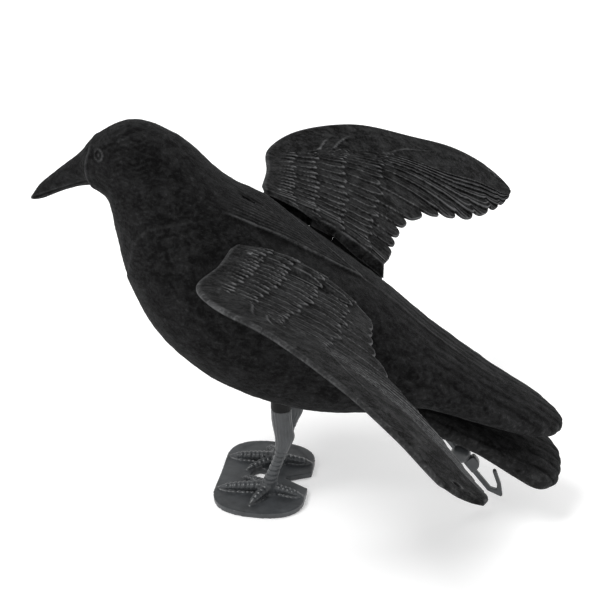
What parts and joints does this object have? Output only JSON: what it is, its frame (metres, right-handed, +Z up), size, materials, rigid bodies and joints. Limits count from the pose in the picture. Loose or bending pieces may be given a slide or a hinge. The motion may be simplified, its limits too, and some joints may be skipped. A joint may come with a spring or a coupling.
{
  "type": "motion wing decoy",
  "caption": "Crow-shaped field decoy on a leg stand, with a hollow flocked body and two spread wings that lift together when the rod under the tail is pulled.",
  "frame": {"origin": "underside of the base plate, midway between the two feet", "axes": "-X towards the bill, +X towards the tail, -Y is the bird's left side, +Z up"},
  "size_m": [0.3825, 0.4546, 0.2825],
  "materials": {
    "flocked_plastic": "moulded shell covered in short black flock",
    "grey_plastic": "satin dark grey moulding",
    "black_plastic": "satin black moulding",
    "white_plastic": "natural bearing plastic",
    "steel": "plated steel"
  },
  "bodies": {
    "decoy_body": {"body_shell_left": "flocked_plastic", "body_shell_right": "flocked_plastic", "leg_socket": "black_plastic", "leg_stand": "grey_plastic", "socket_screw_left": "steel", "socket_screw_right": "steel", "mechanism_frame": "white_plastic", "frame_screw_1": "steel", "frame_screw_2": "steel", "hinge_pin_left": "steel", "hinge_pin_right": "steel", "rod_guide": "white_plastic", "return_spring": "steel"},
    "pull_rod": {"pull_rod": "grey_plastic", "crosshead": "white_plastic", "crosshead_pin": "steel", "spring_collar": "white_plastic", "swivel_housing": "grey_plastic", "swivel_pin": "steel"},
    "pull_hook": {"pull_hook": "grey_plastic"},
    "wing_left": {"wing_left": "flocked_plastic", "wing_arm_left": "black_plastic", "wing_screw_left_1": "steel", "wing_screw_left_2": "steel"},
    "wing_right": {"wing_right": "flocked_plastic", "wing_arm_right": "black_plastic", "wing_screw_right_1": "steel", "wing_screw_right_2": "steel"}
  },
  "joints": [
    {"name": "rod_slide", "type": "slide", "parent": "decoy_body", "child": "pull_rod", "axis": [0.6293, 0, -0.7771], "range_m": [0, 0.009], "stiffness_N_per_m": 150, "springref_m": -0.012, "deforming": ["return_spring"]},
    {"name": "hook_swivel", "type": "hinge", "parent": "pull_rod", "child": "pull_hook", "pos_m": [0.1388, 0, 0.0419], "axis": [0.6293, 0, -0.7771], "continuous": true},
    {"name": "wing_left_hinge", "type": "hinge", "parent": "decoy_body", "child": "wing_left", "pos_m": [0.024, -0.035, 0.182], "axis": [0.9063, 0, -0.4226], "range_deg": [-24, 0]},
    {"name": "wing_right_hinge", "type": "hinge", "parent": "decoy_body", "child": "wing_right", "pos_m": [0.024, 0.035, 0.182], "axis": [0.9063, 0, -0.4226], "range_deg": [0, 24]}
  ],
  "couplings": [
    {"joint": "wing_left_hinge", "follows": "rod_slide", "rad_per_m": -46},
    {"joint": "wing_right_hinge", "follows": "rod_slide", "rad_per_m": 46}
  ]
}
